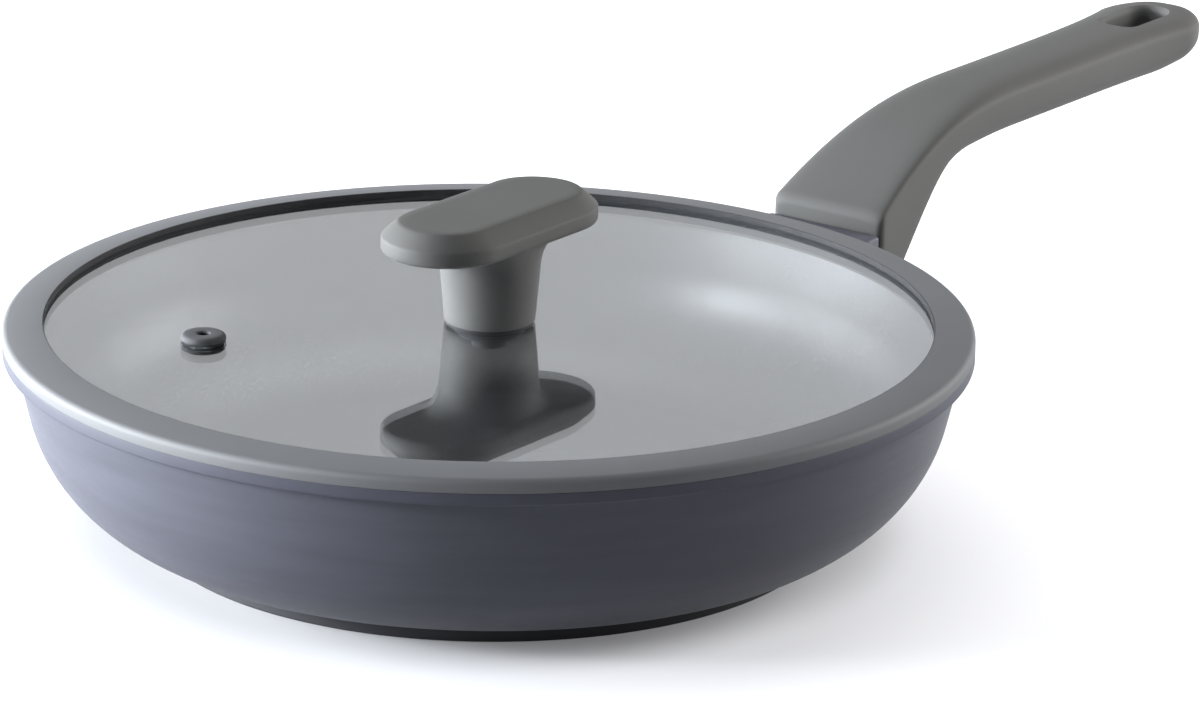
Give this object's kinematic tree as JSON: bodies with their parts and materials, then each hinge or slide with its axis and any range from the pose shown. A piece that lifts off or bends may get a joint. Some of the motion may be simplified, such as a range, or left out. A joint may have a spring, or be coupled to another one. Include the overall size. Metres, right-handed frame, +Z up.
{
  "type": "frying pan with lid",
  "caption": "Frying pan with long soft-touch handle and flat glass lid with silicone ring, steam vent and bar knob; the lid lifts off.",
  "frame": {"origin": "centre of the pan's underside, on the table", "axes": "+X along the handle, away from the pan; +Z up, out of the open pan"},
  "size_m": [0.4586, 0.248, 0.0851],
  "materials": {
    "pan_coat": "satin dark blue-grey coat",
    "steel": "brushed",
    "soft_grip": "soft-touch matt",
    "lid_glass": "clear",
    "ring_silicone": "matt",
    "dark_silicone": "matt",
    "brass": "turned"
  },
  "bodies": {
    "pan": {"pan_body": "pan_coat", "base_plate": "steel", "handle": "soft_grip", "handle_screw": "steel", "handle_washer": "steel"},
    "lid": {"lid_glass": "lid_glass", "lid_ring": "ring_silicone", "steam_vent": "dark_silicone", "knob": "soft_grip", "knob_insert": "brass", "knob_pad": "dark_silicone", "knob_gasket": "dark_silicone", "knob_washer": "steel", "knob_screw": "steel"}
  },
  "joints": [
    {"name": "lid_lift", "type": "slide", "parent": "pan", "child": "lid", "axis": [0, 0, 1], "range_m": [0, 0.12]}
  ]
}
